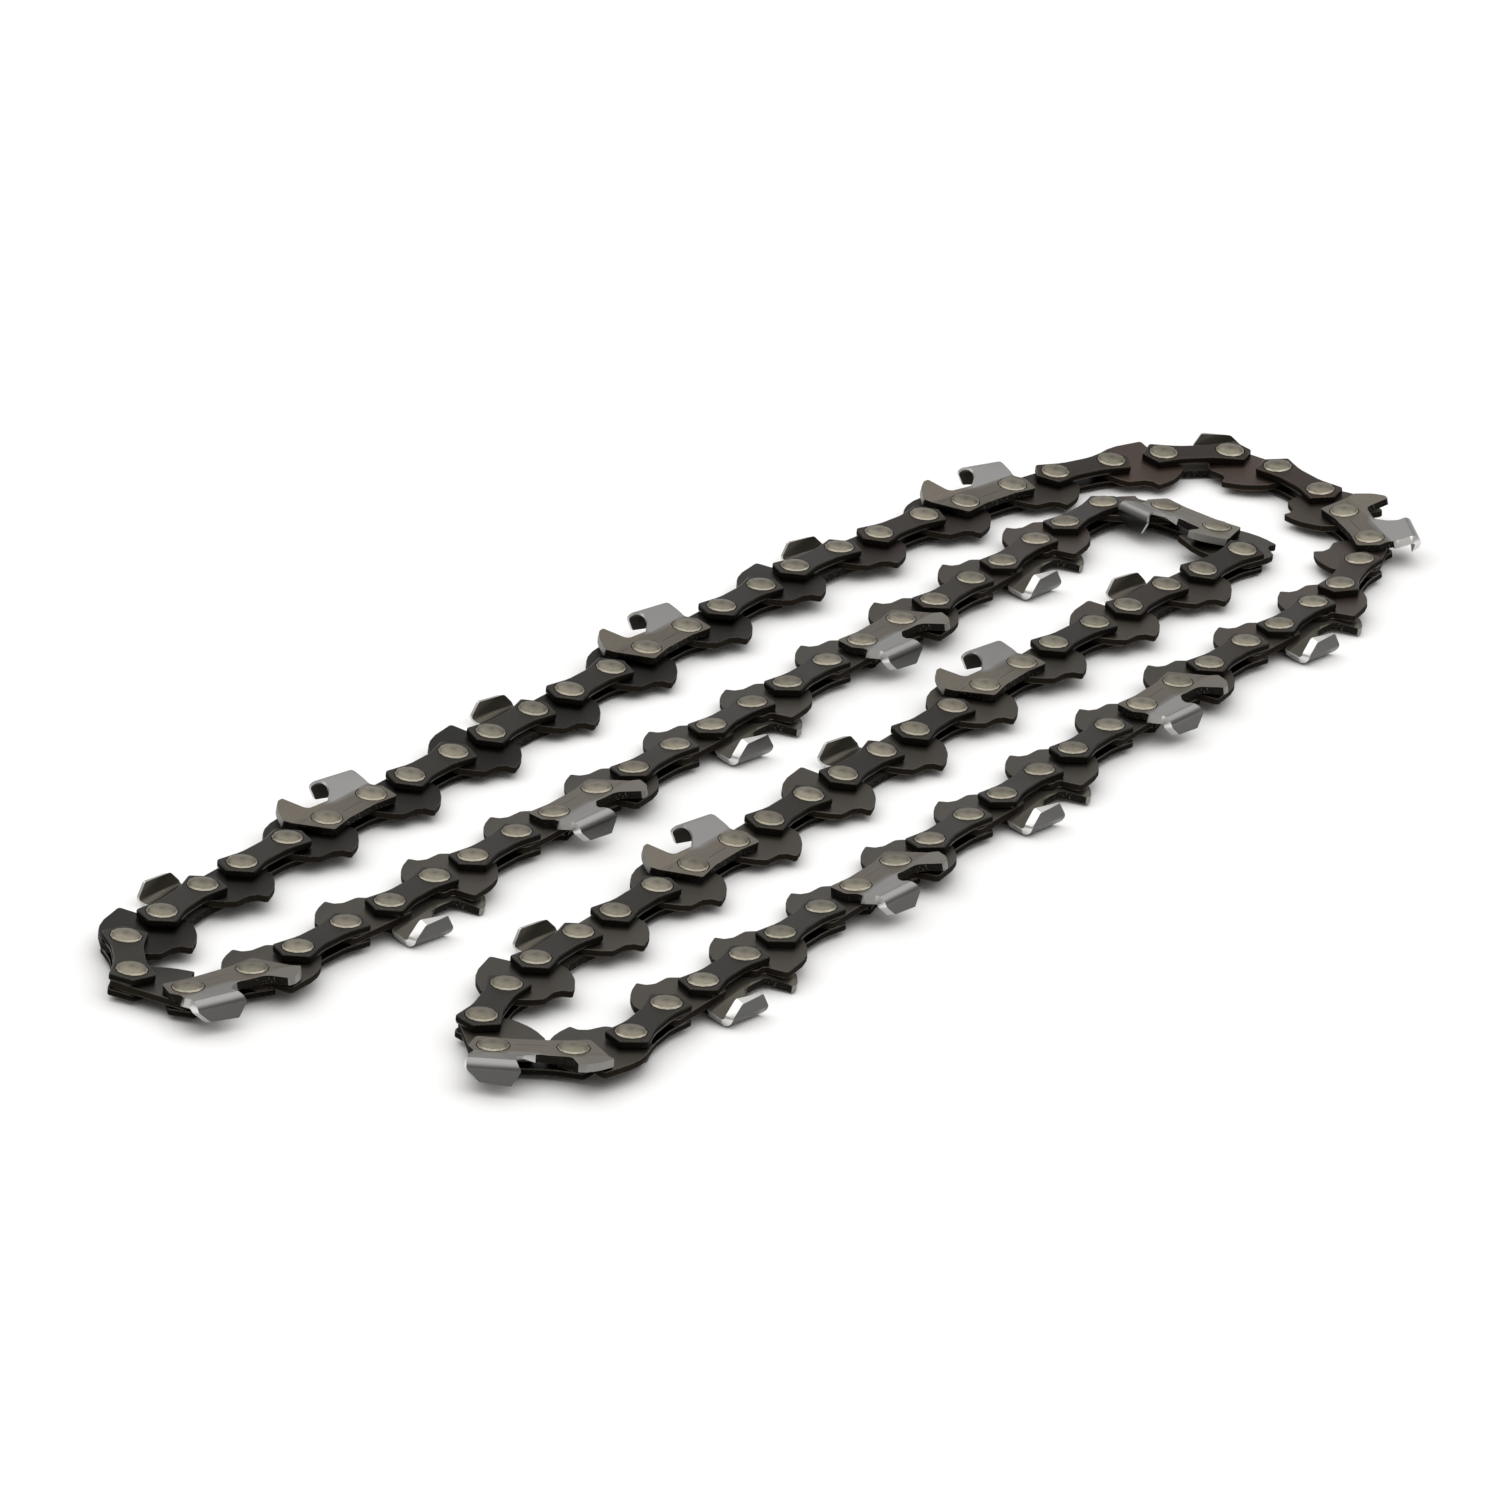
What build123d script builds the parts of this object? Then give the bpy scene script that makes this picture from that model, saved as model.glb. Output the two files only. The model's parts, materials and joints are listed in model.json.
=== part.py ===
from build123d import *
import cmath
import math
import os

# Chain standard (mm): low-profile three-eighths pitch, 1.1 mm gauge
PITCH = 9.32                              # half the length over three rivets
SIDE_SPAN = 9.94                          # rivet spacing in tie straps and cutters
DRIVE_SPAN = 2 * PITCH - SIDE_SPAN        # rivet spacing in drive links
GAUGE = 1.10                              # drive link thickness
PLATE = 1.00                              # tie strap and cutter thickness
INNER = GAUGE / 2                         # inner face of a side plate, from the mid-plane
OUTER = INNER + PLATE                     # its outer face

# In a link, x runs from its first rivet to its second and y towards the outside of the loop.

# Rivets
HEAD_RADIUS = 2.10
HEAD_HEIGHT = 0.55
HEAD_SIDES = 8
HUB_RADIUS = 1.25                         # shank inside the drive link at a turning rivet, to its corners
HUB_PLAY = 0.02                           # least radial play of the drive link on it
HUB_SIDES = 10
FACE_PLAY = 0.05                          # play beside the drive link there
PAD_REACH = 2.0                           # how far its full thickness reaches past the fixed rivet

# Tie strap: hexagonal ends, waisted between the rivets
STRAP_TIP = 3.2
STRAP_CORNER = (1.4, 3.0)
STRAP_WAIST = (2.4, 2.1)

# Cutter: side plate with its depth gauge in front, bent out along BEND_LINE and over at the crease
BEND_LINE = 2.85
DEPTH_GAUGE = [(-5.0, 3.6), (-1.3, 7.0), (-0.3, 7.0), (-0.3, 4.5)]
GULLET = [(1.1, 3.3), (4.6, BEND_LINE)]
CUTTER_BACK = [(12.6, BEND_LINE), (13.0, 0.3)]
CUTTER_FOOT = [(12.0, -2.7), (8.0, -2.1), (2.0, -2.1), (-2.1, -2.8)]
EDGE_MIDDLE = (6.5, 5.2)                  # cutting edge between the gullet and the corner
CREASE_FRONT = (6.4, 7.6)                 # cutting corner
CREASE_HEEL = (13.3, 6.4)
KERF_SET = 0.90                           # how far the crease stands out past the side plate
TOP_WIDTH = 3.2                           # top plate, across the chain
TOP_RAKE = (1.35, 2.1)                    # how far its front and heel edges slant in

# Drive link: hexagonal ends, the tang below and a bumper hump above every other one
LINK_TIP = 2.7
LINK_CORNER = (1.4, 2.7)
TANG = [(10.0, -3.9), (6.9, -6.4), (4.0, -7.4), (3.7, -6.1), (2.7, -5.4), (0.2, -5.2), (-0.8, -3.9)]
HUMP = [(-1.6, 2.6), (1.0, 4.7), (3.6, 5.8), (8.4, 6.2), (8.4, 2.7)]

# Lie of the loop: four straight runs of seven pitches, joined by four bends.
# Each bend gives the turn in degrees at its rivets, left turns positive.
RUN_LINKS = 14
OUTWARD_HEADING = -0.4                    # runs one and four lie along this heading
RETURN_HEADING = 1.1                      # runs two and three along this one
OUTER_TURNS = [-5, -1, -1, -2, -1, -3, -9, -9, -15, -51, -16, -15, -2, -31, -5, -10, -2, -4, 2, 1]
LOWER_TURNS = [6, -28, -35, -80, -28, -7]
INNER_TURNS = [-5, 3, -1, -3, 1, 58, 24, 43, 57, 4, 1, -2, 0]
UPPER_TURNS = [-4, 2, -3, -12, -71, -51, -36, 0, -4]
SHOULDER, NOSE = 7, 14                    # rivets of the outer bend where its closing swings end
CLOSING_ROUNDS = 8
CLOSING_STEP = 0.01

# Order of the links: side and drive links take turns, and a cutter comes on each side in turn
CUTTER_CYCLE = 8
LEFT_PLACE, RIGHT_PLACE = 2, 6
BUMPER_CYCLE, BUMPER_PLACE = 4, 1


def sections(swings):
    """Name, heading before its first rivet and turns at its rivets, for each run and bend."""
    drop, swing = swings
    outer = list(OUTER_TURNS)
    outer[0] += drop
    outer[SHOULDER] += swing - drop
    outer[NOSE] -= swing
    straight = [0] * RUN_LINKS
    return [
        ("first_run", OUTWARD_HEADING, straight),
        ("outer_bend", OUTWARD_HEADING, outer),
        ("second_run", RETURN_HEADING + 180, straight),
        ("lower_bend", RETURN_HEADING + 180, LOWER_TURNS),
        ("third_run", RETURN_HEADING, straight),
        ("inner_bend", RETURN_HEADING, INNER_TURNS),
        ("fourth_run", OUTWARD_HEADING + 180, straight),
        ("upper_bend", OUTWARD_HEADING + 180, UPPER_TURNS),
    ]


def walk(swings):
    """Every link in loop order: section, place of its first rivet, heading; and the closing gap."""
    links = []
    place = 0j
    for name, heading, turns in sections(swings):
        for turn in turns:
            heading += turn
            links.append((name, place, heading))
            span = DRIVE_SPAN if len(links) % 2 == 0 else SIDE_SPAN
            place += cmath.rect(span, math.radians(heading))
    return links, place


def closed_walk():
    """The two swings of the outer bend are solved so that the last rivet meets the first."""
    drop, swing = 0.0, 0.0
    for _ in range(CLOSING_ROUNDS):
        gap = walk((drop, swing))[1]
        by_drop = (walk((drop + CLOSING_STEP, swing))[1] - gap) / CLOSING_STEP
        by_swing = (walk((drop, swing + CLOSING_STEP))[1] - gap) / CLOSING_STEP
        area = (by_drop.conjugate() * by_swing).imag
        drop -= (gap.conjugate() * by_swing).imag / area
        swing -= (by_drop.conjugate() * gap).imag / area
    links, gap = walk((drop, swing))
    print("swings", round(drop, 3), round(swing, 3), "gap", abs(gap))
    return links


def outline_face(outline):
    return make_face(Polyline(*outline, close=True))


def prism(outline, low, high):
    return Pos(0, 0, low) * extrude(outline_face(outline), high - low)


def rivet_head(x):
    rim = Pos(x, 0, OUTER) * RegularPolygon(HEAD_RADIUS, HEAD_SIDES)
    return loft([rim.face(), Vertex(x, 0, OUTER + HEAD_HEIGHT)])


def riveted(plate):
    return plate + rivet_head(0) + rivet_head(SIDE_SPAN)


def strap_outline():
    corner_x, corner_y = STRAP_CORNER
    front = [(-STRAP_TIP, 0), (-corner_x, corner_y), STRAP_WAIST]
    edge = front + [(SIDE_SPAN - x, y) for x, y in reversed(front)]
    return edge + [(x, -y) for x, y in reversed(edge[1:-1])]


def tie_strap(hub_at=None):
    """Upper strap with its rivet heads, and the shank of a turning rivet where it carries one."""
    strap = riveted(prism(strap_outline(), INNER, OUTER))
    if hub_at is not None:
        strap += Pos(hub_at, 0, 0) * extrude(RegularPolygon(HUB_RADIUS, HUB_SIDES), INNER, both=True)
    return strap


def lean_at(y):
    """How far the cutter's upright stands out past the side plate at y."""
    return KERF_SET * (y - BEND_LINE) / (CREASE_FRONT[1] - BEND_LINE)


def cutter_upright():
    """Side plate above the bend line, leaning out to the crease."""
    outline = [GULLET[-1], EDGE_MIDDLE, CREASE_FRONT, CREASE_HEEL, CUTTER_BACK[0]]
    foot = [(BEND_LINE, INNER), (BEND_LINE, OUTER)]
    crease = [(CREASE_FRONT[1], z + KERF_SET) for z in (OUTER, INNER)]
    sheet = Plane.YZ * extrude(outline_face(foot + crease), 2 * SIDE_SPAN)
    return prism(outline, INNER, OUTER + KERF_SET) & sheet


def cutter_top():
    """Top plate, from the crease across the chain."""
    crease = Vector(*CREASE_HEEL) - Vector(*CREASE_FRONT)
    across = Plane((*CREASE_FRONT, OUTER + KERF_SET), x_dir=crease, z_dir=crease.cross(Vector(0, 0, -1)))
    front, heel = TOP_RAKE
    heel_drop = KERF_SET - lean_at(CREASE_HEEL[1])
    outline = [(0, 0), (crease.length, heel_drop), (crease.length - heel, TOP_WIDTH), (front, TOP_WIDTH)]
    return across * extrude(outline_face(outline), -PLATE)


def cutter():
    """Left-hand cutter: riveted side plate, upright and top plate in one folded piece."""
    side_plate = prism(DEPTH_GAUGE + GULLET + CUTTER_BACK + CUTTER_FOOT, INNER, OUTER)
    return riveted(side_plate) + cutter_upright() + cutter_top()


def drive_outline(bumper):
    corner_x, corner_y = LINK_CORNER
    top = HUMP if bumper else [(-corner_x, corner_y)]
    back = [(DRIVE_SPAN + corner_x, corner_y), (DRIVE_SPAN + LINK_TIP, 0)]
    return [(-LINK_TIP, 0)] + top + back + TANG


def drive_link(bumper, turns_at=None):
    """Drive link; where it turns on a rivet it has a hole and play beside it."""
    outline = drive_outline(bumper)
    full = prism(outline, -INNER, INNER)
    if turns_at is None:
        return full
    fixed_at = DRIVE_SPAN - turns_at
    away = math.copysign(1, fixed_at - turns_at)
    fixed_end = Pos(fixed_at + away * (DRIVE_SPAN - PAD_REACH), 0, 0) * Box(2 * DRIVE_SPAN, 4 * DRIVE_SPAN, GAUGE)
    thin = prism(outline, FACE_PLAY - INNER, INNER - FACE_PLAY)
    hole_flats = RegularPolygon(HUB_RADIUS + HUB_PLAY, HUB_SIDES, major_radius=False)
    hole = Pos(turns_at, 0, 0) * extrude(hole_flats, GAUGE, both=True)
    return thin + (full & fixed_end) - hole


def under(shape):
    return mirror(shape, about=Plane.XY)


def turning_ends(links):
    """Place of the turning rivet in each link that meets another section, by link number."""
    side_ends, drive_ends = {}, {}
    for number in range(len(links)):
        if links[number][0] == links[number - 1][0]:
            continue
        before = (number - 1) % len(links)
        if number % 2 == 0:
            side_ends[number] = 0
            drive_ends[before] = DRIVE_SPAN
        else:
            side_ends[before] = SIDE_SPAN
            drive_ends[number] = 0
    return side_ends, drive_ends


def side_pair(number, strap, plain, left):
    """Names and solids of the upper and lower plate of a side link."""
    cycle = number // CUTTER_CYCLE + 1
    place = number % CUTTER_CYCLE
    if place == LEFT_PLACE:
        return [(f"left_cutter_{cycle:02d}", left), ("tie_straps", under(strap))]
    if place == RIGHT_PLACE:
        return [("tie_straps", strap), (f"right_cutter_{cycle:02d}", under(left))]
    return [("tie_straps", strap), ("tie_straps", under(plain))]


def build():
    """The solids of each node, laid along the loop."""
    links = closed_walk()
    side_ends, drive_ends = turning_ends(links)
    plain = tie_strap()
    left = cutter()
    drives = {bumper: drive_link(bumper) for bumper in (True, False)}
    nodes = {}
    for number, (section, place, heading) in enumerate(links):
        if number % 2 == 0:
            strap = tie_strap(side_ends[number]) if number in side_ends else plain
            pieces = side_pair(number, strap, plain, left)
        else:
            bumper = number % BUMPER_CYCLE == BUMPER_PLACE
            kind = "bumper_drive_links" if bumper else "plain_drive_links"
            link = drive_link(bumper, drive_ends[number]) if number in drive_ends else drives[bumper]
            pieces = [(kind, link)]
        lay = Location((place.real, place.imag, 0), (0, 0, heading))
        for kind, solid in pieces:
            node = kind if "cutter" in kind else f"{section}_{kind}"
            nodes.setdefault(node, []).append(lay * solid)
    return nodes


def export(nodes):
    """The loop is centred on its origin and lies on the ground plane."""
    os.makedirs("parts", exist_ok=True)
    box = Compound([solid for solids in nodes.values() for solid in solids]).bounding_box()
    settle = Pos(-box.center().X, -box.center().Y, -box.min.Z)
    for node, solids in nodes.items():
        export_step(Compound([settle * solid for solid in solids]), f"parts/{node}.step")
    print("nodes", len(nodes), "size", box.size)


export(build())
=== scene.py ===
import json
import math

import bmesh
import bpy
from mathutils import Matrix, Vector

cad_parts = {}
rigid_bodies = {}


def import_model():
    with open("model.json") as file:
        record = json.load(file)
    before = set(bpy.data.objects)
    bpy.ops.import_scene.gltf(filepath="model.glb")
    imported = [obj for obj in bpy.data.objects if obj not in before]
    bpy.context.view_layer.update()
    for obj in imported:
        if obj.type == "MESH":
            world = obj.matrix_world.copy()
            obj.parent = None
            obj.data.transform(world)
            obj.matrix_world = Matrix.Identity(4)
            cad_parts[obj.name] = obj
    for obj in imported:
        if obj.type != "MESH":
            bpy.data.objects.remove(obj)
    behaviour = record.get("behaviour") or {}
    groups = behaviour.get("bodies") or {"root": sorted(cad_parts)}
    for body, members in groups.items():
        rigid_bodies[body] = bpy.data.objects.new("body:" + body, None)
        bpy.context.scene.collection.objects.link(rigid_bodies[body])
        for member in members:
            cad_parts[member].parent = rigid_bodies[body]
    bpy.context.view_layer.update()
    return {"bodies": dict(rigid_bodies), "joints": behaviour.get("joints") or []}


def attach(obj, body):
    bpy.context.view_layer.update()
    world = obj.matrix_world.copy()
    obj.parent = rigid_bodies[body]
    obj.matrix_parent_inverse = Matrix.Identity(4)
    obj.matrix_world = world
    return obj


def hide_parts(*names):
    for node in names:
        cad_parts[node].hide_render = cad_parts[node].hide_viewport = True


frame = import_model()
mm = 0.001

# Lie of the loop, in mm and degrees: four straight runs and four bends, a turn at each rivet
loop = {
    "sideSpan": 9.94,
    "driveSpan": 8.70,
    "runLinks": 14,
    "outwardHeading": -0.4,
    "returnHeading": 1.1,
    "outerTurns": [-5.722, -1, -1, -2, -1, -3, -9, -7.077, -15, -51,
                   -16, -15, -2, -31, -6.201, -10, -2, -4, 2, 1],
    "lowerTurns": [6, -28, -35, -80, -28, -7],
    "innerTurns": [-5, 3, -1, -3, 1, 58, 24, 43, 57, 4, 1, -2, 0],
    "upperTurns": [-4, 2, -3, -12, -71, -51, -36, 0, -4],
    "anchorJoint": "second_run_fold",    # the rivet where the lower bend starts
    "anchorSection": "lower_bend",
    "lean": 4.6,             # the outer side of the loop rests a little high
    "sink": 0.33,            # and the rivets a little low
    "settle": 4,             # links from a folding rivet, which stands upright, to the full lean
}


def layLinks():
    straight = [0] * loop["runLinks"]
    outward, back = loop["outwardHeading"], loop["returnHeading"]
    sections = [
        ("first_run", outward, straight),
        ("outer_bend", outward, loop["outerTurns"]),
        ("second_run", back + 180, straight),
        ("lower_bend", back + 180, loop["lowerTurns"]),
        ("third_run", back, straight),
        ("inner_bend", back, loop["innerTurns"]),
        ("fourth_run", outward + 180, straight),
        ("upper_bend", outward + 180, loop["upperTurns"]),
    ]
    links = []
    place = Vector((0, 0, 0))
    for section, heading, turns in sections:
        for number, turn in enumerate(turns):
            heading += turn
            span = loop["driveSpan"] if len(links) % 2 else loop["sideSpan"]
            settled = min(1, number / loop["settle"], (len(turns) - 1 - number) / loop["settle"])
            links.append({"section": section, "place": place.copy(), "heading": math.radians(heading),
                          "lean": math.radians(loop["lean"]) * settled, "sink": loop["sink"] * settled})
            place += Matrix.Rotation(math.radians(heading), 3, "Z") @ Vector((span, 0, 0))
    anchor = next(j for j in frame["joints"] if j["name"] == loop["anchorJoint"])["pos_m"]
    start = next(link["place"] for link in links if link["section"] == loop["anchorSection"])
    shift = Vector(anchor) / mm - start
    for link in links:
        link["place"] = (link["place"] + shift - Vector((0, 0, link["sink"]))) * mm
    return links


links = layLinks()
print("links laid:", len(links))

# Sheet thicknesses and layers, in mm from the chain's mid-plane, and how finely sheets are made
layers = {
    "driveHalf": 0.47,       # drive links run loose between the plates
    "plateInner": 0.55,
    "plate": 1.00,
    "rimSteps": 2,
    "rimProfile": 0.5,       # round
    "arcStep": 16,           # degrees per facet in rounded corners
    "straightAngle": 178,    # corners that open wider have no arc
    "sharpAngle": 50,
    "snap": 0.00001,         # a corner this near to a fold line lies on it
    "weld": 0.0005,          # rim edges shorter than this are closed up
}


def roundCorners(corners):
    outline = []
    count = len(corners)
    for i in range(count):
        x, y, radius = corners[i]
        here = Vector((x, y))
        before = (Vector(corners[i - 1][:2]) - here).normalized()
        after = (Vector(corners[(i + 1) % count][:2]) - here).normalized()
        opening = before.angle(after)
        if radius == 0 or opening > math.radians(layers["straightAngle"]):
            outline.append(here)
            continue
        reach = radius / math.tan(opening / 2)
        centre = here + (before + after).normalized() * radius / math.sin(opening / 2)
        start = here + before * reach - centre
        sweep = math.pi - opening
        side = 1 if before.cross(after) < 0 else -1
        steps = max(1, round(math.degrees(sweep) / layers["arcStep"]))
        for k in range(steps + 1):
            outline.append(centre + Matrix.Rotation(side * sweep * k / steps, 2) @ start)
    return outline


def cutBlank(bm, corners, foldLines):
    bm.faces.new([bm.verts.new((p.x, p.y, 0)) for p in roundCorners(corners)])
    for point, normal in foldLines:
        geometry = bm.verts[:] + bm.edges[:] + bm.faces[:]
        bmesh.ops.bisect_plane(bm, geom=geometry, dist=layers["snap"], plane_co=point, plane_no=normal)
    bm.normal_update()
    if bm.faces[:][0].normal.z < 0:
        bmesh.ops.reverse_faces(bm, faces=bm.faces[:])


# A pressed sheet: rounded outline, cut along its fold lines, given its form and thickness, rims rolled
def pressSheet(name, corners, half, rim, form, foldLines=(), trims=()):
    bm = bmesh.new()
    rimWear = bm.faces.layers.float.new("rimWear")
    wall = bm.faces.layers.float.new("wall")
    inner = bm.faces.layers.float.new("inner")
    ground = bm.faces.layers.float.new("ground")
    upright = bm.verts.layers.float.new("upright")
    topPlate = bm.verts.layers.float.new("topPlate")
    local = bm.verts.layers.float_vector.new("local")
    cutBlank(bm, corners, foldLines)
    blank = bm.verts[:]
    blankFaces = bm.faces[:]
    border = [edge.link_loops[0] for edge in bm.edges if edge.is_boundary]
    borderPairs = [(start.vert, start.link_loop_next.vert) for start in border]
    lower = {}
    outward = {}
    for a, b in borderPairs:
        along = (b.co - a.co).normalized()
        for vert in (a, b):
            outward[vert] = outward.get(vert, Vector()) + Vector((along.y, -along.x, 0))
    for vert in blank:
        flat = vert.co.copy()
        middle, normal, risen, rolledOver = form(flat)
        depth, flare = half, Vector()
        for trim in trims:
            if vert in outward and isInside(flat, trim["box"]):
                depth = trim.get("thickness", 2 * half) - half
                flare = outward[vert].normalized() * trim.get("flare", 0)
        lowMiddle, lowNormal = form(flat + flare)[:2]
        lower[vert] = bm.verts.new(lowMiddle - lowNormal * depth)
        vert.co = middle + normal * half
        for twin in (vert, lower[vert]):
            twin[upright] = risen
            twin[topPlate] = rolledOver
        vert[local] = flat
        lower[vert][local] = flat + Vector((0, 0, -2 * half))
    for face in blankFaces:
        bm.faces.new([lower[v] for v in reversed(face.verts)])[inner] = 1
    for a, b in borderPairs:
        side = bm.faces.new((b, a, lower[a], lower[b]))
        side[wall] = 1
    rims = [e for e in bm.edges if len(e.link_faces) == 2 and sum(f[wall] for f in e.link_faces) == 1]
    rolled = bmesh.ops.bevel(bm, geom=rims, offset=rim, offset_type="OFFSET",
                             segments=layers["rimSteps"], profile=layers["rimProfile"],
                             affect="EDGES", clamp_overlap=True)
    for face in rolled["faces"]:
        face[rimWear] = 1
        face[wall] = 0
        face[inner] = 0
    for face in bm.faces:
        spot = sum((v[local] for v in face.verts), Vector()) / len(face.verts)
        for trim in trims:
            if (face[wall] or face[rimWear]) and isInside(spot, trim["box"]):
                face[ground] = trim["shine"]
    bmesh.ops.dissolve_degenerate(bm, dist=layers["weld"], edges=bm.edges[:])
    return finishSource(name, bm)


def isInside(spot, box):
    return box[0] < spot.x < box[1] and box[2] < spot.y < box[3]


def evaluatedMesh(thing):
    view = bpy.context.evaluated_depsgraph_get()
    return bpy.data.meshes.new_from_object(thing.evaluated_get(view), preserve_all_data_layers=True,
                                           depsgraph=view)


def finishSource(name, bm, pressed=True):
    bmesh.ops.scale(bm, vec=(mm, mm, mm), verts=bm.verts[:])
    mesh = bpy.data.meshes.new(name)
    bm.normal_update()
    bm.to_mesh(mesh)
    bm.free()
    for polygon in mesh.polygons:
        polygon.use_smooth = True
    mesh.set_sharp_from_angle(angle=math.radians(layers["sharpAngle"]))
    source = bpy.data.objects.new(name, mesh)
    if not pressed:
        return source
    bpy.context.scene.collection.objects.link(source)
    source.modifiers.new("flatFaces", "WEIGHTED_NORMAL").keep_sharp = True
    weighted = evaluatedMesh(source)
    source.modifiers.clear()
    source.data = weighted
    bpy.data.meshes.remove(mesh)
    bpy.context.scene.collection.objects.unlink(source)
    return source


def flatForm(height):
    return lambda flat: (Vector((flat.x, flat.y, height)), Vector((0, 0, 1)), 0.0, 0.0)


# Tie strap
strap = {
    "tip": (3.2, 0.5),              # reach past the rivet, corner radius
    "corner": (1.4, 3.0, 0.45),
    "waist": (2.6, 2.05, 5.0),
    "rim": 0.2,
}


def makeStrap():
    span = loop["sideSpan"]
    tip, tipRadius = strap["tip"]
    cornerX, cornerY, cornerRadius = strap["corner"]
    waistX, waistY, waistRadius = strap["waist"]
    edge = [(-tip, 0, tipRadius), (-cornerX, cornerY, cornerRadius), (waistX, waistY, waistRadius)]
    edge += [(span - x, y, radius) for x, y, radius in reversed(edge)]
    corners = edge + [(x, -y, radius) for x, y, radius in reversed(edge[1:-1])]
    middle = layers["plateInner"] + layers["plate"] / 2
    return pressSheet("strapSource", corners, layers["plate"] / 2, strap["rim"], flatForm(middle))


# Drive link: corners are x, y, radius
drive = {
    "front": (-2.7, 0, 0.9),
    "shoulder": (1.4, 2.7, 0.9),
    "backReach": 2.7,
    "tang": [(10.0, -3.9, 0.4), (8.5, -5.4, 6), (6.7, -6.55, 5), (4.0, -7.4, 0.3), (3.7, -6.1, 0.6),
             (2.7, -5.4, 0.9), (0.2, -5.2, 0.9), (-0.8, -3.9, 0.7)],
    "hump": [(-1.6, 2.6, 0.8), (0.9, 4.6, 4), (3.2, 5.75, 5), (8.4, 6.2, 0.45), (8.4, 2.7, 0.5)],
    "rim": 0.1,
}


def makeDriveLink(name, bumper):
    span = loop["driveSpan"]
    shoulderX, shoulderY, radius = drive["shoulder"]
    top = drive["hump"] if bumper else [(-shoulderX, shoulderY, radius)]
    back = [(span + shoulderX, shoulderY, radius), (span + drive["backReach"], 0, drive["front"][2])]
    corners = [drive["front"]] + top + back + drive["tang"]
    return pressSheet(name, corners, layers["driveHalf"], drive["rim"], flatForm(0))


# Cutter: flat blank with its depth gauge, leaned out along the bend line and rolled over at the crease
cutter = {
    "foot": [(12.0, -2.75, 0.6), (8.0, -2.15, 4), (2.0, -2.15, 4), (-2.1, -2.8, 0.5)],
    "gauge": [(-5.0, 3.6, 0.25), (-3.2, 5.9, 3), (-1.5, 7.0, 0.8), (-0.55, 7.0, 0.2)],
    "gullet": [(0.2, 3.35, 1.1), (4.3, 2.95, 1.0), (6.3, 4.3, 1.2), (7.35, 5.6, 1.2)],
    "back": [(12.8, 3.4, 0.8), (12.35, 1.8, 0.6), (13.05, 0.3, 0.6)],
    "rim": 0.18,
    # bright edges: boxes on the blank and their shine, with a thinned sheet or a wall that slopes out; the
    # two heel boxes are painted highlights, the others ground edges
    "trims": [
        {"box": (5.2, 8.6, 3.5, 12.0), "shine": 0.8, "thickness": 0.4},
        {"box": (11.4, 15.0, 2.6, 5.4), "shine": 1, "flare": 0.5},
        {"box": (11.7, 15.0, 5.4, 12.0), "shine": 1, "flare": 0.45},
        {"box": (8.6, 11.7, 8.0, 12.0), "shine": 0.6},
        {"box": (-6.0, -0.4, 3.2, 8.0), "shine": 0.3},
    ],
    "risen": (1.5, 2.5),             # heights between which the upright's finish sets in
    "gaugeLean": 9,
    "bendLine": 2.3,
    "bendFrom": 3.0,                 # the bend starts behind the gullet, at this x
    "bendFull": 4.7,
    "bendRadius": 1.6,
    "bendSteps": 2,
    "creaseFront": (6.4, 7.6),
    "creaseHeel": (13.3, 6.4),
    "creaseRadius": 1.35,            # of the outer face
    "kerfSet": 0.90,
    "topWidth": 3.2,
    # top plate: mm along the crease, share of the width beyond it, corner radius
    "top": [(1.15, 0.0, 0.8), (0.1, 0.42, 0.4), (1.3, 1.0, 0.25),
            (5.3, 0.9, 0.5), (6.9, 0.42, 0.5), (7.0, 0.0, 0.8)],
    "foldSteps": 6,
}


def rollOver(point, normal, edge, away, angle, radius):
    # rolls what lies beyond the edge line by an angle, towards the lower side of the sheet
    beyond = (point - edge).dot(away)
    if beyond <= 0:
        return point, normal
    up = Vector((0, 0, 1))
    arc = min(beyond, radius * angle)
    turn = arc / radius
    start = point - away * beyond
    middle = start + away * (radius * math.sin(turn)) - up * (radius * (1 - math.cos(turn)))
    along = away * math.cos(turn) - up * math.sin(turn)
    return middle + along * (beyond - arc), up * math.cos(turn) + away * math.sin(turn)


def cutterShape():
    half = layers["plate"] / 2
    front, heel = Vector((*cutter["creaseFront"], 0)), Vector((*cutter["creaseHeel"], 0))
    crease = heel - front
    away = Vector((-crease.y, crease.x, 0)).normalized()
    edge = front - away * cutter["creaseRadius"]
    rise = edge.y - cutter["bendLine"]
    lean = math.asin(cutter["kerfSet"] / rise)
    angle = math.pi / 2 + lean
    radius = cutter["creaseRadius"] - half
    rolled = radius * angle
    width = rolled + cutter["topWidth"] - cutter["creaseRadius"]
    return {"edge": edge, "along": crease.normalized(), "away": away, "lean": lean, "angle": angle,
            "radius": radius, "rolled": rolled, "width": width}


def cutterForm(shape):
    bend = Vector((0, cutter["bendLine"], 0))
    base = Vector((0, 0, layers["plateInner"] + layers["plate"] / 2))

    def form(flat):
        folded, normal = flat.copy(), Vector((0, 0, 1))
        lean, risen, rolledOver = math.radians(cutter["gaugeLean"]), 0.0, 0.0
        if flat.x > cutter["bendFrom"]:
            low, high = cutter["risen"]
            risen = min(1, max(0, (flat.y - low) / (high - low)))
            risen *= min(1, (flat.x - cutter["bendFrom"]) / (cutter["bendFull"] - cutter["bendFrom"]))
            beyond = (flat - shape["edge"]).dot(shape["away"])
            rolledOver = min(1, max(0, 2 * beyond / shape["rolled"] - 1))
            lean = shape["lean"]
            folded, normal = rollOver(folded, normal, shape["edge"], shape["away"], shape["angle"],
                                      shape["radius"])
        folded, normal = leanOut(folded, normal, bend, lean)
        return folded + base, normal, risen, rolledOver

    return form


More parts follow.
